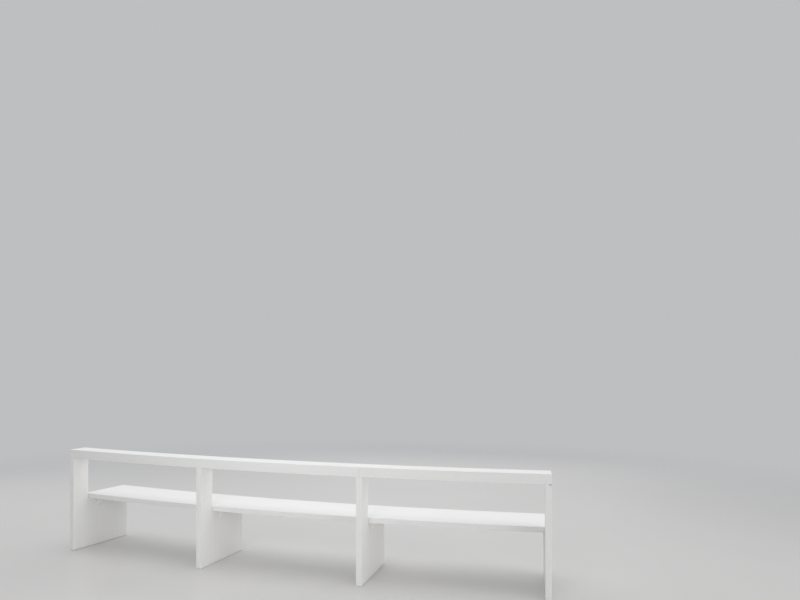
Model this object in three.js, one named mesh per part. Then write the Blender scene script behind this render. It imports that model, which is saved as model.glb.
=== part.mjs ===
// A curved church bench of three bays, in millimetres, with +Z up and +Y towards the front of the seat.
// Upright panels stand on the radial lines of the curve. Seat boards rest on their ledges and top rails
// lie on their posts. Left and right are those of someone standing behind the bench, facing +Y.
import * as THREE from "three";

// The plan
const REAR_RADIUS = 14570; // of the rear face, about a centre in front of the bench
const BAY_PITCH = 1305; // from the middle of one upright to the next, along the rear face
const BENCH_DEPTH = 564; // from the rear face to the front edge of the seat
const POST_DEPTH = 148; // of the posts and of the top rails
const UPRIGHT_THICKNESS = 42;

// The heights, from the floor up
const GLIDE_HEIGHT = 2;
const SEAT_HEIGHT = 450;
const SEAT_THICKNESS = 38;
const RAIL_TOP = 838;
const RAIL_HEIGHT = 70;

// The fittings
const GLIDE_RADIUS = 15;
const GLIDE_INSET = 45; // from the ends of a panel's foot to the middle of its glide
const BRACKET_LEG = 85;
const BRACKET_WIDTH = 50;
const BRACKET_THICKNESS = 3;
const BRACKET_DEPTHS = { rear: 261, front: 453 }; // from the rear face to the middle of a bracket

// The clearances
const SEAT_SETBACK = 2; // between the posts and the rear edge of the seat
const BOARD_JOINT = 1; // between two boards that meet over an upright
const BRACKET_CLEARANCE = 0.3; // between a bracket and the panel that it stands against

// The fineness of the round shapes
const FACETS_PER_BAY = 16;
const GLIDE_FACETS = 24;

const SEAT_UNDERSIDE = SEAT_HEIGHT - SEAT_THICKNESS;
const RAIL_UNDERSIDE = RAIL_TOP - RAIL_HEIGHT;
const BAY_ANGLE = BAY_PITCH / REAR_RADIUS;
const HALF_THICKNESS = UPRIGHT_THICKNESS / 2;

const UPRIGHT_NAMES = ["left_end", "left_middle", "right_middle", "right_end"];
const BAY_NAMES = ["left_bay", "middle_bay", "right_bay"];
const LAST_UPRIGHT = UPRIGHT_NAMES.length - 1;
const MIDDLE_OF_ROW = LAST_UPRIGHT / 2;
const JOINT_UPRIGHT = 2; // the boards meet over the right middle upright

const LACQUER_WHITE = 0xecece9;
const BRACKET_WHITE = 0xe4e4e1;
const GLIDE_GREY = 0x6e6c68;

const lacqueredWood = () =>
  new THREE.MeshStandardMaterial({ color: LACQUER_WHITE, roughness: 0.42, metalness: 0 });
const paintedSteel = () =>
  new THREE.MeshStandardMaterial({ color: BRACKET_WHITE, roughness: 0.35, metalness: 0.1 });
const glidePlastic = () =>
  new THREE.MeshStandardMaterial({ color: GLIDE_GREY, roughness: 0.7, metalness: 0 });

// The angle of an upright in plan, from the middle of the bench, positive to the right.
function uprightAngle(index) {
  return (index - MIDDLE_OF_ROW) * BAY_ANGLE;
}

// A place on the curve at one upright: its origin lies on the floor at the rear face, in the middle of the
// panel's thickness, and its +Y runs forwards along the radial line.
function stationAt(index) {
  const angle = uprightAngle(index);
  const station = new THREE.Group();
  station.position.set(
    REAR_RADIUS * Math.sin(angle),
    REAR_RADIUS * (1 - Math.cos(angle)),
    0,
  );
  station.rotation.z = angle;
  return station;
}

function named(name, geometry, material) {
  const mesh = new THREE.Mesh(geometry, material);
  mesh.name = name;
  return mesh;
}

// A side view, drawn as depth and height, made as thick as asked and centred on the plane x = 0.
function profileAlongX(points, thickness) {
  const shape = new THREE.Shape(points.map(([depth, height]) => new THREE.Vector2(depth, height)));
  const geometry = new THREE.ExtrudeGeometry(shape, { depth: thickness, bevelEnabled: false });
  geometry.translate(0, 0, -thickness / 2);
  const drawnToBench = new THREE.Matrix4().makeBasis(
    new THREE.Vector3(0, 1, 0),
    new THREE.Vector3(0, 0, 1),
    new THREE.Vector3(1, 0, 0),
  );
  return geometry.applyMatrix4(drawnToBench);
}

// One panel in a single piece: a foot as deep as the bench up to the ledge, and a narrow post above it.
function uprightPanel(name) {
  const outline = [
    [0, GLIDE_HEIGHT],
    [BENCH_DEPTH, GLIDE_HEIGHT],
    [BENCH_DEPTH, SEAT_UNDERSIDE],
    [POST_DEPTH, SEAT_UNDERSIDE],
    [POST_DEPTH, RAIL_UNDERSIDE],
    [0, RAIL_UNDERSIDE],
  ];
  return named(`${name}_upright`, profileAlongX(outline, UPRIGHT_THICKNESS), lacqueredWood());
}

// A flat disc under the foot of a panel.
function glide(name, depth) {
  const geometry = new THREE.CylinderGeometry(GLIDE_RADIUS, GLIDE_RADIUS, GLIDE_HEIGHT, GLIDE_FACETS);
  geometry.rotateX(Math.PI / 2);
  const disc = named(name, geometry, glidePlastic());
  disc.position.set(0, depth, GLIDE_HEIGHT / 2);
  return disc;
}

// An angle bracket that holds the seat to one side of a panel: side is 1 on its right and -1 on its left.
function seatBracket(name, side, depth) {
  const back = HALF_THICKNESS + BRACKET_CLEARANCE;
  const outline = [
    [back, SEAT_UNDERSIDE],
    [back, SEAT_UNDERSIDE - BRACKET_LEG],
    [back + BRACKET_THICKNESS, SEAT_UNDERSIDE - BRACKET_LEG],
    [back + BRACKET_THICKNESS, SEAT_UNDERSIDE - BRACKET_THICKNESS],
    [back + BRACKET_LEG, SEAT_UNDERSIDE - BRACKET_THICKNESS],
    [back + BRACKET_LEG, SEAT_UNDERSIDE],
  ];
  const geometry = profileAlongX(outline, BRACKET_WIDTH);
  geometry.rotateZ((-side * Math.PI) / 2);
  const bracket = named(name, geometry, paintedSteel());
  bracket.position.y = depth;
  return bracket;
}

// The end of a board: the plane beside an upright's radial line, at an offset to the right of it.
function endAngle(end, radius) {
  return uprightAngle(end.upright) + Math.asin(end.offset / radius) - Math.PI / 2;
}

// A curved board between two ends and between two depths, which are measured from the bench's rear face.
function curvedBoard(name, depths, ends, underside, thickness) {
  const rear = REAR_RADIUS - depths.rear;
  const front = REAR_RADIUS - depths.front;
  const plan = new THREE.Shape();
  plan.absarc(0, REAR_RADIUS, rear, endAngle(ends.left, rear), endAngle(ends.right, rear), false);
  plan.absarc(0, REAR_RADIUS, front, endAngle(ends.right, front), endAngle(ends.left, front), true);
  const bays = ends.right.upright - ends.left.upright;
  const geometry = new THREE.ExtrudeGeometry(plan, {
    depth: thickness,
    bevelEnabled: false,
    curveSegments: (bays * FACETS_PER_BAY) / 2,
  });
  const board = named(name, geometry, lacqueredWood());
  board.position.z = underside;
  return board;
}

// The two boards of a row, flush with the outer faces of the end uprights and meeting over one upright.
function boardRow(name, depths, underside, thickness) {
  const leftEnd = { upright: 0, offset: -HALF_THICKNESS };
  const leftOfJoint = { upright: JOINT_UPRIGHT, offset: -BOARD_JOINT / 2 };
  const rightOfJoint = { upright: JOINT_UPRIGHT, offset: BOARD_JOINT / 2 };
  const rightEnd = { upright: LAST_UPRIGHT, offset: HALF_THICKNESS };
  return [
    curvedBoard(`${name}_left`, depths, { left: leftEnd, right: leftOfJoint }, underside, thickness),
    curvedBoard(`${name}_right`, depths, { left: rightOfJoint, right: rightEnd }, underside, thickness),
  ];
}

const bench = new THREE.Group();

const stations = UPRIGHT_NAMES.map((name, index) => {
  const station = stationAt(index);
  station.add(uprightPanel(name));
  station.add(glide(`${name}_rear_glide`, GLIDE_INSET));
  station.add(glide(`${name}_front_glide`, BENCH_DEPTH - GLIDE_INSET));
  bench.add(station);
  return station;
});

BAY_NAMES.forEach((bay, index) => {
  for (const [place, depth] of Object.entries(BRACKET_DEPTHS)) {
    stations[index].add(seatBracket(`${bay}_left_${place}_bracket`, 1, depth));
    stations[index + 1].add(seatBracket(`${bay}_right_${place}_bracket`, -1, depth));
  }
});

const seatDepths = { rear: POST_DEPTH + SEAT_SETBACK, front: BENCH_DEPTH };
const railDepths = { rear: 0, front: POST_DEPTH };
bench.add(...boardRow("seat_board", seatDepths, SEAT_UNDERSIDE, SEAT_THICKNESS));
bench.add(...boardRow("top_rail", railDepths, RAIL_UNDERSIDE, RAIL_HEIGHT));

// The origin is the middle of the footprint, on the floor.
const footprint = new THREE.Box3().setFromObject(bench);
bench.position.y = -(footprint.min.y + footprint.max.y) / 2;

export default bench;
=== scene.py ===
"""Dresses the curved church bench: eased and lacquered boards, brackets, screws and glides, on a pale floor.

Metres, +Z up, +Y towards the front of the seat. Left and right are those of someone who stands behind the
bench. The bench is curved about a point in front of it. A station is a place on that curve at one upright.
"""
import math

import bmesh
import bpy
from bpy.props import FloatProperty, FloatVectorProperty, IntProperty, PointerProperty
from bpy.types import Operator, Panel, PropertyGroup
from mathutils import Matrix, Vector


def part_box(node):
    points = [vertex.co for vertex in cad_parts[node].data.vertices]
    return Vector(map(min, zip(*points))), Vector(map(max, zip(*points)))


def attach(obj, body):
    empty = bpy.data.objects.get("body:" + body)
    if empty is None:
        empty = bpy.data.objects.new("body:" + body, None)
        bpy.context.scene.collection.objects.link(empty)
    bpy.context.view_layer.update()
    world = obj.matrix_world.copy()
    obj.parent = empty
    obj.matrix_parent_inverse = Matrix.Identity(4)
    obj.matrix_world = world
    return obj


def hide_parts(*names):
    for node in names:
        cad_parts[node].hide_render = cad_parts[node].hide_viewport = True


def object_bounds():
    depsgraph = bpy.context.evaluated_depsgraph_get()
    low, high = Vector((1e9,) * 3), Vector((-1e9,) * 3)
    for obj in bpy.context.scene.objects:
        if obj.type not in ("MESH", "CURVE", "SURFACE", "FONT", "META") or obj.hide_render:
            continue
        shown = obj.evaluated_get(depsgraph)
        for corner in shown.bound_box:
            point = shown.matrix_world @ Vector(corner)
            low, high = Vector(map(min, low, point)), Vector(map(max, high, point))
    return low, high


bl_info = {
    "name": "Curved Church Bench",
    "version": (1, 0, 0),
    "blender": (4, 5, 0),
    "location": "3D View > Sidebar > Bench",
    "description": "Makes the boards, fittings and finishes of a curved church bench",
    "category": "Object",
}

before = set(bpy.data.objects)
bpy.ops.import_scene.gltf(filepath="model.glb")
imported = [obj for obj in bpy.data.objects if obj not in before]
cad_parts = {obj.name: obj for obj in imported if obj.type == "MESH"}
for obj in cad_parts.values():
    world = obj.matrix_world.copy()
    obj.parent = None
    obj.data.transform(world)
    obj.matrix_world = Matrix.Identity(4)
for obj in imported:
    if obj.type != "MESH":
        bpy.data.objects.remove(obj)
cad_low, cad_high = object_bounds()
panel_low, panel_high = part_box("left_end_upright")
seat_low, seat_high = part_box("seat_board_left")
rail_low, rail_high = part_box("top_rail_left")

ROOT_BODY = "root"
UPRIGHTS = ("left_end", "left_middle", "right_middle", "right_end")
BAYS = ("left_bay", "middle_bay", "right_bay")
MIDDLE_OF_ROW = (len(UPRIGHTS) - 1) / 2
JOINT_UPRIGHT = 2
OPENED_JOINT = "right_end"


class BenchSizes(PropertyGroup):
    """The sizes of the bench that a maker would change."""

    rear_radius: FloatProperty(
        name="Rear radius", description="Radius of the rear face in plan", default=14.57, unit="LENGTH"
    )
    bay_pitch: FloatProperty(
        name="Bay pitch", description="Between the middles of two uprights", default=1.305, unit="LENGTH"
    )
    bench_depth: FloatProperty(
        name="Bench depth",
        description="From the rear face to the seat's front edge",
        default=0.564,
        unit="LENGTH",
    )
    post_depth: FloatProperty(
        name="Post depth", description="Depth of the posts and of the top rails", default=0.148, unit="LENGTH"
    )
    panel_thickness: FloatProperty(
        name="Panel thickness", description="Thickness of the uprights", default=0.042, unit="LENGTH"
    )
    floor_gap: FloatProperty(
        name="Floor gap", description="Height of the uprights' underside", default=panel_low.z, unit="LENGTH"
    )
    ledge_height: FloatProperty(
        name="Ledge height", description="Height of the seat's underside", default=seat_low.z, unit="LENGTH"
    )
    seat_height: FloatProperty(
        name="Seat height", description="Height of the seat's top", default=seat_high.z, unit="LENGTH"
    )
    rail_underside: FloatProperty(
        name="Rail underside", description="Height of the posts' top", default=rail_low.z, unit="LENGTH"
    )
    rail_top: FloatProperty(
        name="Rail top", description="Height of the top rails", default=rail_high.z, unit="LENGTH"
    )
    seat_setback: FloatProperty(
        name="Seat setback",
        description="Between the posts and the seat's rear edge",
        default=0.002,
        unit="LENGTH",
    )
    rail_joint: FloatProperty(
        name="Rail joint", description="Gap where the two rails meet", default=0.001, unit="LENGTH"
    )
    seat_joint: FloatProperty(
        name="Seat joint", description="Gap where the two seat boards meet", default=0.0001, unit="LENGTH"
    )
    joint_opening: FloatProperty(
        name="Joint opening", description="Of the joint that has opened", default=0.0032, unit="LENGTH"
    )
    edge_radius: FloatProperty(
        name="Edge radius", description="Rounding of the boards' edges", default=0.0018, unit="LENGTH"
    )
    steps_per_bay: IntProperty(
        name="Steps per bay", description="Straight lengths in the curve of a board", default=16, min=4
    )


class FittingSizes(PropertyGroup):
    """The sizes of the brackets, screws and glides."""

    bracket_leg: FloatProperty(
        name="Bracket leg", description="Length of each leg", default=0.085, unit="LENGTH"
    )
    bracket_width: FloatProperty(
        name="Bracket width", description="Width of the steel strip", default=0.050, unit="LENGTH"
    )
    bracket_thickness: FloatProperty(
        name="Bracket thickness", description="Thickness of the steel strip", default=0.003, unit="LENGTH"
    )
    bracket_clearance: FloatProperty(
        name="Bracket clearance", description="Between a bracket and its panel", default=0.0001, unit="LENGTH"
    )
    rear_bracket: FloatProperty(
        name="Rear bracket", description="From the rear face to its middle", default=0.261, unit="LENGTH"
    )
    front_bracket: FloatProperty(
        name="Front bracket", description="From the rear face to its middle", default=0.453, unit="LENGTH"
    )
    bracket_easing: FloatProperty(
        name="Bracket easing", description="Rounding of the steel's edges", default=0.0003, unit="LENGTH"
    )
    corner_radius: FloatProperty(
        name="Corner radius",
        description="Rounding of the bracket's free corners",
        default=0.007,
        unit="LENGTH",
    )
    screw_radius: FloatProperty(
        name="Screw radius", description="Radius of a screw's head", default=0.0055, unit="LENGTH"
    )
    screw_rise: FloatProperty(
        name="Screw rise", description="Height of a screw's head", default=0.0016, unit="LENGTH"
    )
    screw_stagger: FloatProperty(
        name="Screw stagger",
        description="Of a screw from the middle of its leg",
        default=0.006,
        unit="LENGTH",
    )
    near_screw: FloatProperty(
        name="Near screw", description="From the bend to the near screw", default=0.023, unit="LENGTH"
    )
    far_screw: FloatProperty(
        name="Far screw", description="From the bend to the far screw", default=0.075, unit="LENGTH"
    )


class BenchColours(PropertyGroup):
    """The colours of the finishes, in linear light."""

    lacquer: FloatVectorProperty(
        name="Lacquer", description="White of the boards", default=(0.88, 0.88, 0.87), subtype="COLOR"
    )
    lacquer_grain: FloatVectorProperty(
        name="Grain",
        description="Tone of the grain under the lacquer",
        default=(0.78, 0.772, 0.752),
        subtype="COLOR",
    )
    worn_edge: FloatVectorProperty(
        name="Worn edge", description="Tone of a rubbed edge", default=(0.70, 0.69, 0.665), subtype="COLOR"
    )
    scuff: FloatVectorProperty(
        name="Scuff", description="Tone of scuffs near the floor", default=(0.55, 0.54, 0.52), subtype="COLOR"
    )
    # Painted shade: this dark tone on the faces inside the opened joint stands for the shade in the gap
    painted_joint_shade: FloatVectorProperty(
        name="Bare wood",
        description="Tone of a joint face without lacquer",
        default=(0.22, 0.18, 0.14),
        subtype="COLOR",
    )
    bracket_paint: FloatVectorProperty(
        name="Bracket paint", description="White of the brackets", default=(0.94, 0.94, 0.93), subtype="COLOR"
    )
    screw_steel: FloatVectorProperty(
        name="Screw steel", description="Colour of the screws", default=(0.64, 0.63, 0.615), subtype="COLOR"
    )
    glide_plastic: FloatVectorProperty(
        name="Glide plastic",
        description="Colour of the glides",
        default=(0.18, 0.175, 0.165),
        subtype="COLOR",
    )
    floor: FloatVectorProperty(
        name="Floor", description="Colour of the stage's floor", default=(0.648, 0.64, 0.628), subtype="COLOR"
    )
    surround: FloatVectorProperty(
        name="Surround",
        description="Colour of the light all round",
        default=(0.97, 0.98, 1.0),
        subtype="COLOR",
    )


class StageSettings(PropertyGroup):
    """The camera and the lights."""

    lens: FloatProperty(name="Lens", description="Focal length in millimetres", default=31.51)
    camera_place: FloatVectorProperty(
        name="Camera place",
        description="From the middle of the bench's rear face, on the floor",
        default=(2.437, -4.579, 1.625),
        subtype="XYZ",
    )
    camera_turn: FloatProperty(
        name="Camera turn",
        description="To the left of straight ahead",
        default=math.radians(17.86),
        subtype="ANGLE",
    )
    horizon_drop: FloatProperty(
        name="Horizon drop", description="Of the horizon below the middle, in frame widths", default=0.068875
    )
    surround_strength: FloatProperty(
        name="Surround strength",
        description="Of the light all round",
        default=0.53,
    )
    lamp_strength: FloatProperty(
        name="Lamp strength",
        description="Times the power of each lamp",
        default=1.0,
    )
    floor_fade: FloatVectorProperty(
        name="Floor fade",
        description="Where the floor starts and ends to fade away",
        default=(3.2, 8.5),
        size=2,
    )


def sizes():
    return bpy.context.scene.bench_sizes


def fittings():
    return bpy.context.scene.bench_fittings


def colours():
    return bpy.context.scene.bench_colours


def stage_settings():
    return bpy.context.scene.bench_stage


def station_angle(index):
    """The angle of an upright about the centre of the curve, positive to the right."""
    return (index - MIDDLE_OF_ROW) * sizes().bay_pitch / sizes().rear_radius


def station_place(angle):
    """The point where the rear face meets the floor at an angle; the one in the middle is the origin."""
    radius = sizes().rear_radius
    return Vector((radius * math.sin(angle), radius * (1 - math.cos(angle)), 0))


# Steps at the bench that every piece shares

NEAR = 1e-5
WELD_DISTANCE = 1e-6
FLAT_ANGLE = math.radians(1)
SHARP_ANGLE = math.radians(30)
SMOOTH_ANGLE = math.radians(50)
UPWARDS = 0.9


def clear_selection():
    bpy.ops.object.select_all(action="DESELECT")


def pick_alone(piece):
    clear_selection()
    piece.select_set(True)
    bpy.context.view_layer.objects.active = piece


def discard(piece):
    pick_alone(piece)
    bpy.ops.object.delete()


def renamed(piece, name):
    """Gives a piece and its mesh a name."""
    piece.name = name
    piece.data.name = name
    return piece


def keep_place_in_mesh():
    """Takes the place, turn and scale of the selected pieces into their meshes."""
    bpy.ops.object.transform_apply(location=True, rotation=True, scale=True)


def just_added(name):
    """Names the primitive that was just added, and takes its size and place into its mesh."""
    piece = renamed(bpy.context.active_object, name)
    keep_place_in_mesh()
    return piece


def copy_of(piece, name):
    pick_alone(piece)
    bpy.ops.object.duplicate(linked=False)
    return renamed(bpy.context.active_object, name)


def add_plate(name, place, height, depth):
    """A flat rectangle that stands across the bench, in the plane that faces along it."""
    clear_selection()
    bpy.ops.mesh.primitive_plane_add(size=1, location=place, rotation=(0, math.pi / 2, 0))
    bpy.context.active_object.scale = (height, depth, 1)
    return just_added(name)


def at_height(spot, height):
    return abs(spot.z - height) < NEAR


def pick_parts(piece, kind, test):
    """In edit mode, selects the faces, edges or vertices that pass the test.

    The test is given the middle and the normal of a face, the middle of an edge, or the place of a vertex.
    """
    bpy.ops.mesh.select_mode(type=kind)
    bpy.ops.mesh.select_all(action="DESELECT")
    mesh = bmesh.from_edit_mesh(piece.data)
    if kind == "FACE":
        for face in mesh.faces:
            face.select_set(test(face.calc_center_median(), face.normal))
    elif kind == "EDGE":
        for edge in mesh.edges:
            edge.select_set(test((edge.verts[0].co + edge.verts[1].co) / 2))
    else:
        for vertex in mesh.verts:
            vertex.select_set(test(vertex.co))
    mesh.select_flush_mode()
    bmesh.update_edit_mesh(piece.data)


def apply_modifier(piece, kind, **settings):
    pick_alone(piece)
    bpy.ops.object.modifier_add(type=kind)
    modifier = piece.modifiers[-1]
    for name, value in settings.items():
        setattr(modifier, name, value)
    bpy.ops.object.modifier_apply(modifier=modifier.name)


# How far an edge is eased, as a share of the full rounding
FREE_EDGE = 1.0
RESTING_EDGE = 0.6
GROUND_EDGE = 0.35
BUTTED_EDGE = 0.25
TIGHT_EDGE = 0.1
INNER_CORNER = 0.0


def mark_sharp_edges():
    """In edit mode, marks every sharp edge to be eased in full."""
    bpy.ops.mesh.select_mode(type="EDGE")
    bpy.ops.mesh.select_all(action="DESELECT")
    bpy.ops.mesh.edges_select_sharp(sharpness=SHARP_ANGLE)
    bpy.ops.transform.edge_bevelweight(value=FREE_EDGE)


def mark_edges(piece, share, test):
    """In edit mode, sets how far the edges that pass the test are eased instead."""
    pick_parts(piece, "EDGE", test)
    # The operator adds to what an edge has, so that goes back to nothing first
    bpy.ops.transform.edge_bevelweight(value=-FREE_EDGE)
    bpy.ops.transform.edge_bevelweight(value=share)


def keep_faces_flat(piece):
    """Shades the eased edges smoothly, and keeps the flat faces flat in the shading."""
    pick_alone(piece)
    bpy.ops.object.shade_smooth_by_angle(angle=SMOOTH_ANGLE)
    apply_modifier(piece, "WEIGHTED_NORMAL", keep_sharp=True, weight=100)


def ease_edges(piece, radius, segments=3):
    """Rounds the marked edges."""
    apply_modifier(piece, "BEVEL", width=radius, segments=segments, limit_method="WEIGHT")
    keep_faces_flat(piece)


def lay_grain(piece, grain_place, start):
    """Keeps, at each vertex, its place in the board: first along the grain, then the two ways across it."""
    attribute = piece.data.attributes.new("grain_place", "FLOAT_VECTOR", "POINT")
    for vertex, value in zip(piece.data.vertices, attribute.data):
        along, across, through = grain_place(vertex.co)
        value.vector = (along + start, across, through)


def carry_to_station(piece, angle):
    """Carries a piece from the middle of the bench along the curve, and keeps that place in its mesh."""
    pick_alone(piece)
    piece.location = station_place(angle) + Vector((0, cad_low.y, 0))
    piece.rotation_euler = (0, 0, angle)
    keep_place_in_mesh()


def finish_piece(piece, material, slot, *nodes):
    """Gives a piece its finish and its place in the frame."""
    piece.data.materials.clear()
    piece.data.materials.append(material)
    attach(piece, ROOT_BODY)
    if nodes:
        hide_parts(*nodes)


# The finishes

RUBBED_WIDTH = 0.0035
CHIPPED_WIDTH = 0.0012
SCUFF_HEIGHT = 0.11
PORE_DEPTH = 0.5
# The cosine of the turn from a face to its rounded edge: where the edge starts, and where it shows in full
EDGE_START = 0.995
EDGE_IN_FULL = 0.90
# Of the smoothest and the dullest spots
LACQUER_ROUGHNESS = (0.36, 0.48)
PAINT_ROUGHNESS = (0.26, 0.40)
STEEL_ROUGHNESS = (0.25, 0.45)
PLASTIC_ROUGHNESS = (0.55, 0.75)


def new_finish(name):
    """An empty finish: its node tree and its shader."""
    material = bpy.data.materials.new(name)
    material.use_nodes = True
    return material, material.node_tree, material.node_tree.nodes["Principled BSDF"]


def set_inputs(tree, node, inputs):
    """Links the inputs of a node to other sockets, or gives them plain values."""
    for name, value in inputs.items():
        if isinstance(value, bpy.types.NodeSocket):
            tree.links.new(value, node.inputs[name])
        else:
            node.inputs[name].default_value = value


def add_node(tree, kind, inputs=None, **settings):
    node = tree.nodes.new(kind)
    for name, value in settings.items():
        setattr(node, name, value)
    set_inputs(tree, node, inputs or {})
    return node


def object_place(tree):
    return add_node(tree, "ShaderNodeTexCoord").outputs["Object"]


def noise_on(tree, place, scale=1.0, stretch=(1.0, 1.0, 1.0), detail=4.0, roughness=0.55):
    """Noise on a place, which may be stretched along the axes; gives a value from 0 to 1."""
    mapping = add_node(tree, "ShaderNodeMapping", {"Vector": place, "Scale": stretch})
    noise = add_node(
        tree,
        "ShaderNodeTexNoise",
        {"Vector": mapping.outputs["Vector"], "Scale": scale, "Detail": detail, "Roughness": roughness},
    )
    return noise.outputs["Fac"]


def between(tree, value, low, high, to_low=0.0, to_high=1.0):
    """Spreads a value from one range to another, smoothly and clamped."""
    spread = add_node(
        tree,
        "ShaderNodeMapRange",
        {"Value": value, "From Min": low, "From Max": high, "To Min": to_low, "To Max": to_high},
        interpolation_type="SMOOTHSTEP",
    )
    return spread.outputs["Result"]


def product(tree, first, second):
    return add_node(tree, "ShaderNodeMath", {0: first, 1: second}, operation="MULTIPLY").outputs["Value"]


def colour_mix(tree, factor, first, second):
    """Mixes two colours; each is a socket or a plain colour."""
    node = add_node(tree, "ShaderNodeMix", {"Factor": factor}, data_type="RGBA")
    colour_inputs = [socket for socket in node.inputs if socket.type == "RGBA"]
    for socket, value in zip(colour_inputs, (first, second)):
        if isinstance(value, bpy.types.NodeSocket):
            tree.links.new(value, socket)
        else:
            socket.default_value = (*value, 1.0)
    return next(socket for socket in node.outputs if socket.type == "RGBA")


def tinted(tree, base, mask, share, tone):
    """A base colour with a share of another tone where the mask shows."""
    return colour_mix(tree, product(tree, mask, share), base, tone)


def bump(tree, height, strength, distance, under=None):
    """The normal of an uneven surface, which may lie on top of one that is uneven already."""
    inputs = {"Height": height, "Strength": strength, "Distance": distance}
    if under is not None:
        inputs["Normal"] = under
    return add_node(tree, "ShaderNodeBump", inputs).outputs["Normal"]


def edge_mask(tree, radius):
    """1 along the edges of a piece and 0 on its faces."""
    rounded = add_node(tree, "ShaderNodeBevel", {"Radius": radius}, samples=4)
    geometry = add_node(tree, "ShaderNodeNewGeometry")
    cosine = add_node(
        tree,
        "ShaderNodeVectorMath",
        {0: rounded.outputs["Normal"], 1: geometry.outputs["Normal"]},
        operation="DOT_PRODUCT",
    )
    return between(tree, cosine.outputs["Value"], EDGE_START, EDGE_IN_FULL)


def satin_lacquer():
    """White satin lacquer over wood: faint grain along the board, rubbed edges, scuffs near the floor, and a
    painted shade in the opened joint.
    """
    material, tree, shader = new_finish("satin_lacquer")
    palette = colours()
    place = add_node(tree, "ShaderNodeAttribute", attribute_name="grain_place").outputs["Vector"]
    spot = object_place(tree)

    bands = noise_on(tree, place, stretch=(0.9, 26.0, 26.0), detail=5.0)
    veins = noise_on(tree, place, stretch=(2.4, 125.0, 125.0), detail=4.0)
    pores = noise_on(tree, place, stretch=(14.0, 620.0, 620.0), detail=3.0)
    cloud = noise_on(tree, spot, scale=2.3, detail=3.0)
    base = palette.lacquer
    for value, low, high, share in (
        (bands, 0.45, 0.75, 0.12),
        (veins, 0.46, 0.72, 0.18),
        (pores, 0.55, 0.75, 0.18),
        (cloud, 0.45, 0.75, 0.12),
    ):
        streaks = between(tree, value, low, high)
        base = tinted(tree, base, streaks, share, tone=palette.lacquer_grain)

    speckle = noise_on(tree, spot, scale=38.0, detail=5.0, roughness=0.7)
    rubbed = product(tree, edge_mask(tree, RUBBED_WIDTH), between(tree, speckle, low=0.42, high=0.66))
    base = tinted(tree, base, rubbed, share=0.42, tone=palette.worn_edge)

    height = add_node(tree, "ShaderNodeSeparateXYZ", {"Vector": spot}).outputs["Z"]
    scuffs = noise_on(tree, spot, stretch=(30.0, 30.0, 130.0), detail=6.0, roughness=0.7)
    near_floor = between(tree, height, low=SCUFF_HEIGHT, high=0.0)
    scuffed = product(tree, near_floor, between(tree, scuffs, low=0.52, high=0.72))
    base = tinted(tree, base, scuffed, share=0.30, tone=palette.scuff)

    # Painted shade: the upward faces inside the opened joint get a dark tone that stands for the shade in the
    # gap
    joint_shade_mask = add_node(tree, "ShaderNodeAttribute", attribute_name="painted_joint_shade").outputs["Fac"]
    base = colour_mix(tree, joint_shade_mask, base, palette.painted_joint_shade)

    peel = noise_on(tree, spot, scale=420.0, detail=2.0)
    grain_relief = bump(tree, product(tree, pores, PORE_DEPTH), strength=0.25, distance=0.0004)
    set_inputs(
        tree,
        shader,
        {
            "Base Color": base,
            "Roughness": between(tree, cloud, 0.25, 0.75, *LACQUER_ROUGHNESS),
            "Specular IOR Level": 0.45,
            "Normal": bump(tree, peel, strength=0.12, distance=0.0003, under=grain_relief),
        },
    )
    return material


def bracket_paint():
    """White enamel on steel: a little uneven, with chips along the edges."""
    material, tree, shader = new_finish("bracket_paint")
    palette = colours()
    spot = object_place(tree)
    cloud = noise_on(tree, spot, scale=45.0)
    dulled = between(tree, cloud, low=0.45, high=0.85)
    base = tinted(tree, palette.bracket_paint, dulled, share=0.25, tone=palette.worn_edge)
    chips = noise_on(tree, spot, scale=260.0, detail=5.0, roughness=0.7)
    chipped = product(tree, edge_mask(tree, CHIPPED_WIDTH), between(tree, chips, low=0.58, high=0.66))
    base = tinted(tree, base, chipped, share=0.72, tone=palette.scuff)
    set_inputs(
        tree,
        shader,
        {
            "Base Color": base,
            "Roughness": between(tree, cloud, 0.3, 0.7, *PAINT_ROUGHNESS),
            "Normal": bump(tree, cloud, strength=0.15, distance=0.0004),
        },
    )
    return material


def screw_steel():
    """Zinc-plated steel, a little tarnished."""
    material, tree, shader = new_finish("screw_steel")
    palette = colours()
    tarnish = noise_on(tree, object_place(tree), scale=700.0)
    tarnished = between(tree, tarnish, low=0.45, high=0.7)
    set_inputs(
        tree,
        shader,
        {
            "Base Color": tinted(tree, palette.screw_steel, tarnished, share=0.5, tone=palette.scuff),
            "Roughness": between(tree, tarnish, 0.3, 0.7, *STEEL_ROUGHNESS),
            "Metallic": 1.0,
        },
    )
    return material


def glide_plastic():
    """Matt grey plastic, dusty and scratched by the floor."""
    material, tree, shader = new_finish("glide_plastic")
    palette = colours()
    dust = noise_on(tree, object_place(tree), scale=160.0, detail=5.0, roughness=0.65)
    dusty = between(tree, dust, low=0.45, high=0.75)
    set_inputs(
        tree,
        shader,
        {
            "Base Color": tinted(tree, palette.glide_plastic, dusty, share=0.35, tone=palette.scuff),
            "Roughness": between(tree, dust, 0.3, 0.7, *PLASTIC_ROUGHNESS),
            "Normal": bump(tree, dust, strength=0.2, distance=0.0005),
        },
    )
    return material


def finish_named(name, make):
    """The finish of that name, made the first time that it is asked for."""
    return bpy.data.materials.get(name) or make()


# The boards

# How much further along the grain the next panel, the next board of a row and a board a metre higher start
PANEL_GRAIN_STEP = 2.1
BOARD_GRAIN_STEP = 5.3
HEIGHT_GRAIN_STEP = 10
# The joint that has opened: the width of its sloped part, and how far up a face must look to get the painted
# shade of the gap
OPENING_SLOPE = 0.004
JOINT_SHADE_UPWARDS = 0.7


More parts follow.
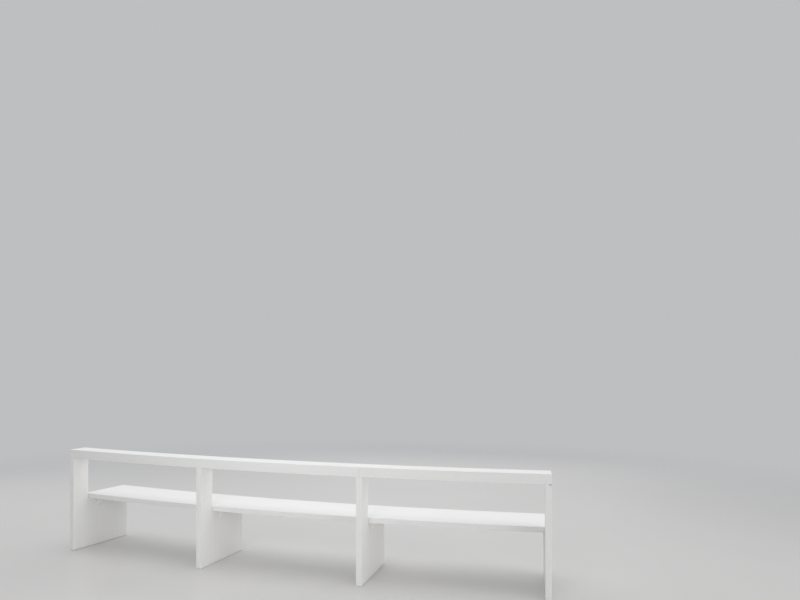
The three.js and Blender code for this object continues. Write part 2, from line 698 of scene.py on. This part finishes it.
def upright_panel(name):
    """One upright at the middle of the bench: a foot as deep as the bench, and a post at its rear."""
    size = sizes()
    foot_height = size.ledge_height - size.floor_gap
    clear_selection()
    bpy.ops.mesh.primitive_cube_add(
        size=1,
        location=(0, size.bench_depth / 2, size.floor_gap + foot_height / 2),
        scale=(size.panel_thickness, size.bench_depth, foot_height),
    )
    panel = just_added(name)
    bpy.ops.object.mode_set(mode="EDIT")
    bpy.ops.mesh.select_all(action="SELECT")
    bpy.ops.mesh.bisect(plane_co=(0, size.post_depth, 0), plane_no=(0, 1, 0))
    pick_parts(panel, "FACE", lambda middle, normal: normal.z > UPWARDS and middle.y < size.post_depth)
    bpy.ops.mesh.extrude_region_move(
        TRANSFORM_OT_translate={"value": (0, 0, size.rail_underside - size.ledge_height)}
    )
    bpy.ops.mesh.select_all(action="SELECT")
    bpy.ops.mesh.dissolve_limited(angle_limit=FLAT_ANGLE)
    mark_sharp_edges()
    mark_edges(panel, BUTTED_EDGE, lambda middle: at_height(middle, size.rail_underside))
    mark_edges(panel, GROUND_EDGE, lambda middle: at_height(middle, size.floor_gap))
    mark_edges(
        panel,
        INNER_CORNER,
        lambda middle: at_height(middle, size.ledge_height) and abs(middle.y - size.post_depth) < NEAR,
    )
    bpy.ops.object.mode_set(mode="OBJECT")
    ease_edges(panel, size.edge_radius)
    return panel


def open_post_joint(panel):
    """Lowers the outer half of a post's top a little, where its joint under the rail has opened, and marks
    the upward faces in the opening for the painted shade of the gap.
    """
    size = sizes()
    brink = size.rail_underside - size.edge_radius
    pick_alone(panel)
    bpy.ops.object.mode_set(mode="EDIT")
    for start in (0, OPENING_SLOPE):
        pick_parts(panel, "FACE", lambda middle, normal: middle.z > brink)
        bpy.ops.mesh.bisect(plane_co=(start, 0, 0), plane_no=(1, 0, 0))
    pick_parts(panel, "VERT", lambda spot: spot.x > OPENING_SLOPE / 2 and spot.z > brink)
    bpy.ops.transform.translate(value=(0, 0, -size.joint_opening))
    bpy.ops.object.mode_set(mode="OBJECT")
    # The upward faces in the opening are marked for the painted shade of the gap
    joint_shade_mask = panel.data.attributes.new("painted_joint_shade", "FLOAT", "FACE")
    for face, value in zip(panel.data.polygons, joint_shade_mask.data):
        in_opening = face.center.x > 0 and face.center.z > brink - size.joint_opening
        value.value = float(in_opening and face.normal.z > JOINT_SHADE_UPWARDS)
    keep_faces_flat(panel)


def end_plane(end):
    """A point and the normal, to the right, of the plane at an offset beside a station's radial line."""
    angle, offset = end
    along = Vector((math.cos(angle), math.sin(angle), 0))
    return station_place(angle) + along * offset, along


def on_end(spot, end):
    point, along = end_plane(end)
    return abs((spot - point).dot(along)) < NEAR


def saw_off(end, keep_right):
    """In edit mode, saws a board along the plane of an end, and closes the cut."""
    point, along = end_plane(end)
    bpy.ops.mesh.select_all(action="SELECT")
    bpy.ops.mesh.bisect(
        plane_co=point,
        plane_no=-along if keep_right else along,
        use_fill=True,
        clear_outer=True,
    )


def curved_board(name, depths, heights, ends, easings):
    """A board on the curve: its section swept about the curve's centre, sawn off and eased at both ends."""
    size = sizes()
    rear, front = depths
    low, high = heights
    left_end, right_end = ends
    spare = 2 * size.panel_thickness / size.rear_radius
    start = left_end[0] - spare
    sweep = right_end[0] + spare - start
    steps = max(2, round(size.steps_per_bay * sweep * size.rear_radius / size.bay_pitch))
    board = add_plate(name, (0, (rear + front) / 2, (low + high) / 2), high - low, front - rear)
    board.rotation_euler = (0, 0, start)
    board.location = station_place(start)
    keep_place_in_mesh()
    bpy.ops.object.mode_set(mode="EDIT")
    bpy.ops.mesh.select_all(action="SELECT")
    bpy.ops.mesh.spin(steps=steps, angle=-sweep, center=(0, size.rear_radius, 0), axis=(0, 0, 1))
    bpy.ops.mesh.select_all(action="SELECT")
    bpy.ops.mesh.remove_doubles(threshold=WELD_DISTANCE)
    saw_off(left_end, keep_right=True)
    saw_off(right_end, keep_right=False)
    bpy.ops.mesh.select_all(action="SELECT")
    bpy.ops.mesh.normals_make_consistent(inside=False)
    mark_sharp_edges()
    for end, easing in zip(ends, easings):
        mark_edges(board, easing, lambda middle: on_end(middle, end))
    mark_edges(board, RESTING_EDGE, lambda middle: at_height(middle, low))
    bpy.ops.object.mode_set(mode="OBJECT")
    ease_edges(board, size.edge_radius)
    return board


def place_in_panel(co):
    """A point's height, depth and place across the thickness of an upright at the middle of the bench."""
    return co.z, co.y, co.x


def place_in_curve(co):
    """A point's length along the curve, depth from the rear face and height, in a board not yet carried."""
    radius = sizes().rear_radius
    angle = math.atan2(co.x, radius - co.y)
    return angle * radius, radius - math.hypot(co.x, radius - co.y), co.z


def board_row(name, depths, heights, joint_width, joint_edge):
    """The two boards of a row, flush with the end uprights and meeting over the joint upright."""
    half = sizes().panel_thickness / 2
    gap = joint_width / 2
    joint = station_angle(JOINT_UPRIGHT)
    last = len(UPRIGHTS) - 1
    spans = {
        "left": ((station_angle(0), -half), (joint, -gap)),
        "right": ((joint, gap), (station_angle(last), half)),
    }
    easings = {"left": (FREE_EDGE, joint_edge), "right": (joint_edge, FREE_EDGE)}
    for order, (side, ends) in enumerate(spans.items()):
        node = f"{name}_{side}"
        board = curved_board(f"{node}_lacquered", depths, heights, ends, easings[side])
        lay_grain(board, place_in_curve, BOARD_GRAIN_STEP * order + HEIGHT_GRAIN_STEP * heights[0])
        carry_to_station(board, 0)
        finish_piece(board, finish_named("satin_lacquer", satin_lacquer), "lacquered_wood", node)


class BENCH_OT_make_uprights(Operator):
    """Makes the four uprights on their stations"""

    bl_idname = "bench.make_uprights"
    bl_label = "Uprights"

    def execute(self, context):
        pattern = upright_panel("upright_pattern")
        for index, name in enumerate(UPRIGHTS):
            panel = copy_of(pattern, f"{name}_upright_lacquered")
            if name == OPENED_JOINT:
                open_post_joint(panel)
            lay_grain(panel, place_in_panel, PANEL_GRAIN_STEP * index)
            carry_to_station(panel, station_angle(index))
            finish_piece(
                panel, finish_named("satin_lacquer", satin_lacquer), "lacquered_wood", f"{name}_upright"
            )
        discard(pattern)
        return {"FINISHED"}


class BENCH_OT_make_seat_boards(Operator):
    """Makes the seat boards on the ledges of the uprights"""

    bl_idname = "bench.make_seat_boards"
    bl_label = "Seat boards"

    def execute(self, context):
        size = sizes()
        board_row(
            "seat_board",
            (size.post_depth + size.seat_setback, size.bench_depth),
            (size.ledge_height, size.seat_height),
            size.seat_joint,
            TIGHT_EDGE,
        )
        return {"FINISHED"}


class BENCH_OT_make_top_rails(Operator):
    """Makes the top rails on the posts"""

    bl_idname = "bench.make_top_rails"
    bl_label = "Top rails"

    def execute(self, context):
        size = sizes()
        board_row(
            "top_rail",
            (0, size.post_depth),
            (size.rail_underside, size.rail_top),
            size.rail_joint,
            FREE_EDGE,
        )
        return {"FINISHED"}


# The fittings

# Of the thickness of a bracket's strip
OUTER_BEND = 0.9
INNER_BEND = 0.7
# Of the radius of a screw's head
DOME_WIDTH = 0.35
TOP_REACH = 0.3
RECESS_RIM = 0.18
# Of the rise of a screw's head, and of the width at the top of its recess
RECESS_DEPTH = 0.55
RECESS_TAPER = 0.6


def bracket_back():
    """Where the brackets on the right of a panel start, from the middle of its thickness."""
    return sizes().panel_thickness / 2 + fittings().bracket_clearance


def angle_bracket(name):
    """A bracket right of a panel at the rear face: a strip bent at a right angle, with round free corners."""
    fitting = fittings()
    back = bracket_back()
    leg = fitting.bracket_leg
    top = sizes().ledge_height
    bracket = add_plate(name, (back, 0, top - leg / 2), leg, fitting.bracket_width)
    bpy.ops.object.mode_set(mode="EDIT")
    pick_parts(bracket, "EDGE", lambda middle: at_height(middle, top))
    bpy.ops.mesh.extrude_region_move(TRANSFORM_OT_translate={"value": (leg, 0, 0)})
    pick_parts(
        bracket,
        "VERT",
        lambda spot: at_height(spot, top - leg) or abs(spot.x - back - leg) < NEAR,
    )
    bpy.ops.mesh.bevel(offset=fitting.corner_radius, segments=5, affect="VERTICES")
    bpy.ops.mesh.select_all(action="SELECT")
    bpy.ops.mesh.normals_make_consistent(inside=False)
    bpy.ops.object.mode_set(mode="OBJECT")
    return bracket


def thicken_bracket(bracket):
    """Gives the bent strip its thickness towards the inside of the corner, and rounds its bend and edges."""
    fitting = fittings()
    back = bracket_back()
    top = sizes().ledge_height
    thickness = fitting.bracket_thickness
    sheet_normal = bracket.data.polygons[0].normal
    towards_inside = 1.0 if sheet_normal.x > sheet_normal.z else -1.0
    apply_modifier(bracket, "SOLIDIFY", thickness=thickness, offset=towards_inside, use_even_offset=True)
    bpy.ops.object.mode_set(mode="EDIT")
    for inset, bend, segments in ((0, OUTER_BEND, 4), (thickness, INNER_BEND, 3)):
        pick_parts(
            bracket,
            "EDGE",
            lambda middle: abs(middle.x - back - inset) < NEAR and at_height(middle, top - inset),
        )
        bpy.ops.mesh.bevel(offset=thickness * bend, segments=segments, affect="EDGES")
    mark_sharp_edges()
    bpy.ops.object.mode_set(mode="OBJECT")
    ease_edges(bracket, fitting.bracket_easing, segments=2)


def screw_head(name):
    """A screw head on the floor at the origin, pointing up: a low dome with a round recess."""
    fitting = fittings()
    radius = fitting.screw_radius
    rise = fitting.screw_rise
    clear_selection()
    bpy.ops.mesh.primitive_cylinder_add(vertices=24, radius=radius, depth=rise, location=(0, 0, rise / 2))
    head = just_added(name)
    bpy.ops.object.mode_set(mode="EDIT")
    pick_parts(head, "FACE", lambda middle, normal: normal.z > UPWARDS)
    bpy.ops.mesh.bevel(offset=radius * DOME_WIDTH, segments=3, affect="EDGES")
    pick_parts(
        head,
        "FACE",
        lambda middle, normal: normal.z > UPWARDS and middle.xy.length < radius * TOP_REACH,
    )
    bpy.ops.mesh.inset(thickness=radius * RECESS_RIM)
    bpy.ops.mesh.extrude_region_move(TRANSFORM_OT_translate={"value": (0, 0, -rise * RECESS_DEPTH)})
    bpy.ops.transform.resize(value=(RECESS_TAPER, RECESS_TAPER, 1.0))
    bpy.ops.object.mode_set(mode="OBJECT")
    pick_alone(head)
    bpy.ops.object.shade_smooth_by_angle(angle=SMOOTH_ANGLE)
    return head


def bracket_screws(name):
    """The screws of one bracket right of a panel: two in each leg, joined as one piece."""
    fitting = fittings()
    back = bracket_back()
    top = sizes().ledge_height
    face = fitting.bracket_thickness
    head = screw_head("screw_pattern")
    screws = []
    for reach, aside in (
        (fitting.near_screw, -fitting.screw_stagger),
        (fitting.far_screw, fitting.screw_stagger),
    ):
        for place, turn in (
            ((back + face, aside, top - reach), (0, math.pi / 2, 0)),
            ((back + reach, aside, top - face), (math.pi, 0, 0)),
        ):
            screw = copy_of(head, f"{name}_{len(screws)}")
            screw.location = place
            screw.rotation_euler = turn
            screws.append(screw)
    discard(head)
    clear_selection()
    for screw in screws:
        screw.select_set(True)
    bpy.context.view_layer.objects.active = screws[0]
    keep_place_in_mesh()
    bpy.ops.object.join()
    return renamed(bpy.context.active_object, name)


def fitting_places():
    """Each bracket's name, upright, side of the upright and depth from the rear face."""
    fitting = fittings()
    depths = {"rear": fitting.rear_bracket, "front": fitting.front_bracket}
    for index, bay in enumerate(BAYS):
        for place, depth in depths.items():
            yield f"{bay}_left_{place}_bracket", index, 1, depth
            yield f"{bay}_right_{place}_bracket", index + 1, -1, depth


def set_beside_upright(piece, index, side, depth):
    """Turns a fitting to its side of an upright, and carries it there."""
    pick_alone(piece)
    piece.rotation_euler = (0, 0, 0 if side > 0 else math.pi)
    piece.location = (0, depth, 0)
    keep_place_in_mesh()
    carry_to_station(piece, station_angle(index))


class BENCH_OT_make_brackets(Operator):
    """Makes the angle brackets under the seat"""

    bl_idname = "bench.make_brackets"
    bl_label = "Seat brackets"

    def execute(self, context):
        pattern = angle_bracket("bracket_pattern")
        thicken_bracket(pattern)
        for name, index, side, depth in fitting_places():
            bracket = copy_of(pattern, f"{name}_painted")
            set_beside_upright(bracket, index, side, depth)
            finish_piece(bracket, finish_named("bracket_paint", bracket_paint), "bracket_steel", name)
        discard(pattern)
        return {"FINISHED"}


class BENCH_OT_make_screws(Operator):
    """Makes the screws of the brackets"""

    bl_idname = "bench.make_screws"
    bl_label = "Bracket screws"

    def execute(self, context):
        pattern = bracket_screws("screws_pattern")
        for name, index, side, depth in fitting_places():
            screws = copy_of(pattern, f"{name}_screws")
            set_beside_upright(screws, index, side, depth)
            finish_piece(screws, finish_named("screw_steel", screw_steel), "bracket_steel")
        discard(pattern)
        return {"FINISHED"}


class BENCH_OT_finish_glides(Operator):
    """Gives the glides under the uprights their finish"""

    bl_idname = "bench.finish_glides"
    bl_label = "Glides"

    def execute(self, context):
        for name in UPRIGHTS:
            for end in ("rear", "front"):
                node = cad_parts[f"{name}_{end}_glide"]
                node.data.materials.clear()
                node.data.materials.append(finish_named("glide_plastic", glide_plastic))
        return {"FINISHED"}


# The stage

FLOOR_REACH = 60.0
FLOOR_ROUGHNESS = 0.28
FLOOR_SHADE = 0.985
BENCH_MIDDLE = Vector((0, 0, 0.5))
WARM_LIGHT = (1.0, 0.965, 0.945)
WHITE_LIGHT = (1.0, 1.0, 1.0)
LAMPS = {
    "low_right_lamp": {
        "place": (9.0, -3.75, 1.1),
        "size": (4.5, 1.5),
        "power": 37.5,
        "spread": 90,
        "colour": WARM_LIGHT,
    },
    "rear_middle_lamp": {"place": (0.3, -4.6, 2.8), "size": (1.5, 1.0), "power": 5.9, "spread": 60},
    "right_lamp": {"place": (6.0, 0, 2.5), "size": (3.0, 2.0), "power": 28.0},
    "left_lamp": {"place": (-6.0, 1.0, 2.5), "size": (3.0, 2.0), "power": 39.0},
    "front_lamp": {"place": (0, 6.0, 2.5), "size": (6.0, 2.0), "power": 64.0},
    "ceiling_lamp": {"place": (0, 0.5, 4.5), "size": (7.0, 5.0), "power": 99.0, "mirrored": True},
}


def studio_floor():
    """Plain pale floor with a soft sheen, which fades into the light all round far from the bench."""
    material, tree, shader = new_finish("studio_floor")
    palette = colours()
    fade_start, fade_end = stage_settings().floor_fade
    spot = object_place(tree)
    cloud = noise_on(tree, spot, scale=1.2, detail=3.0)
    darker = [channel * FLOOR_SHADE for channel in palette.floor]
    base = colour_mix(tree, between(tree, cloud, low=0.35, high=0.65), palette.floor, darker)
    set_inputs(tree, shader, {"Base Color": base, "Roughness": FLOOR_ROUGHNESS})
    distance = add_node(tree, "ShaderNodeVectorMath", {0: spot}, operation="LENGTH").outputs["Value"]
    clear = add_node(tree, "ShaderNodeBsdfTransparent")
    faded = add_node(
        tree,
        "ShaderNodeMixShader",
        {
            0: between(tree, distance, fade_start, fade_end),
            1: shader.outputs["BSDF"],
            2: clear.outputs["BSDF"],
        },
    )
    set_inputs(tree, tree.nodes["Material Output"], {"Surface": faded.outputs["Shader"]})
    return material


def add_area_light(name, place, size, power, spread=180, colour=WHITE_LIGHT, mirrored=False):
    """A soft lamp that points at the middle of the bench; its spread is in degrees.

    A lamp that isn't mirrored leaves no glare on the floor.
    """
    bpy.ops.object.light_add(type="AREA", location=place)
    light = bpy.context.active_object
    light.name = name
    light.rotation_euler = (BENCH_MIDDLE - Vector(place)).to_track_quat("-Z", "Y").to_euler()
    light.data.shape = "RECTANGLE"
    light.data.size, light.data.size_y = size
    light.data.energy = power * stage_settings().lamp_strength
    light.data.spread = math.radians(spread)
    light.data.color = colour
    light.visible_glossy = mirrored


class BENCH_OT_set_stage(Operator):
    """Makes the floor, the lights and the camera"""

    bl_idname = "bench.set_stage"
    bl_label = "Stage"

    def execute(self, context):
        settings = stage_settings()
        clear_selection()
        bpy.ops.mesh.primitive_plane_add(size=FLOOR_REACH, location=(0, 0, 0))
        floor = just_added("studio_floor")
        floor.data.materials.append(studio_floor())

        world = bpy.data.worlds.new("studio_surround")
        world.use_nodes = True
        background = world.node_tree.nodes["Background"]
        background.inputs["Color"].default_value = (*colours().surround, 1.0)
        background.inputs["Strength"].default_value = settings.surround_strength
        context.scene.world = world

        for name, lamp in LAMPS.items():
            add_area_light(name, **lamp)

        place = Vector(settings.camera_place) + Vector((0, cad_low.y, 0))
        bpy.ops.object.camera_add(location=place, rotation=(math.pi / 2, 0, settings.camera_turn))
        camera = bpy.context.active_object
        camera.name = "photo_camera"
        camera.data.lens = settings.lens
        camera.data.shift_y = settings.horizon_drop
        context.scene.camera = camera
        context.scene.view_settings.view_transform = "Standard"
        return {"FINISHED"}


class BENCH_PT_workshop(Panel):
    """Lists the steps that make the bench"""

    bl_label = "Curved church bench"
    bl_idname = "BENCH_PT_workshop"
    bl_space_type = "VIEW_3D"
    bl_region_type = "UI"
    bl_category = "Bench"

    def draw(self, context):
        for operator in OPERATORS:
            self.layout.operator(operator.bl_idname)
        for group in ("bench_sizes", "bench_fittings", "bench_colours", "bench_stage"):
            settings = getattr(context.scene, group)
            for name in settings.__annotations__:
                self.layout.prop(settings, name)


OPERATORS = (
    BENCH_OT_make_uprights,
    BENCH_OT_make_seat_boards,
    BENCH_OT_make_top_rails,
    BENCH_OT_make_brackets,
    BENCH_OT_make_screws,
    BENCH_OT_finish_glides,
    BENCH_OT_set_stage,
)
GROUPS = {
    "bench_sizes": BenchSizes,
    "bench_fittings": FittingSizes,
    "bench_colours": BenchColours,
    "bench_stage": StageSettings,
}


def register():
    for group in GROUPS.values():
        bpy.utils.register_class(group)
    for operator in OPERATORS:
        bpy.utils.register_class(operator)
    bpy.utils.register_class(BENCH_PT_workshop)
    for name, group in GROUPS.items():
        setattr(bpy.types.Scene, name, PointerProperty(type=group))


def unregister():
    for name in GROUPS:
        delattr(bpy.types.Scene, name)
    bpy.utils.unregister_class(BENCH_PT_workshop)
    for operator in reversed(OPERATORS):
        bpy.utils.unregister_class(operator)
    for group in reversed(GROUPS.values()):
        bpy.utils.unregister_class(group)


def main():
    """Makes the bench and its stage."""
    register()
    bpy.ops.bench.make_uprights()
    bpy.ops.bench.make_seat_boards()
    bpy.ops.bench.make_top_rails()
    bpy.ops.bench.make_brackets()
    bpy.ops.bench.make_screws()
    bpy.ops.bench.finish_glides()
    bpy.ops.bench.set_stage()


if __name__ == "__main__":
    main()
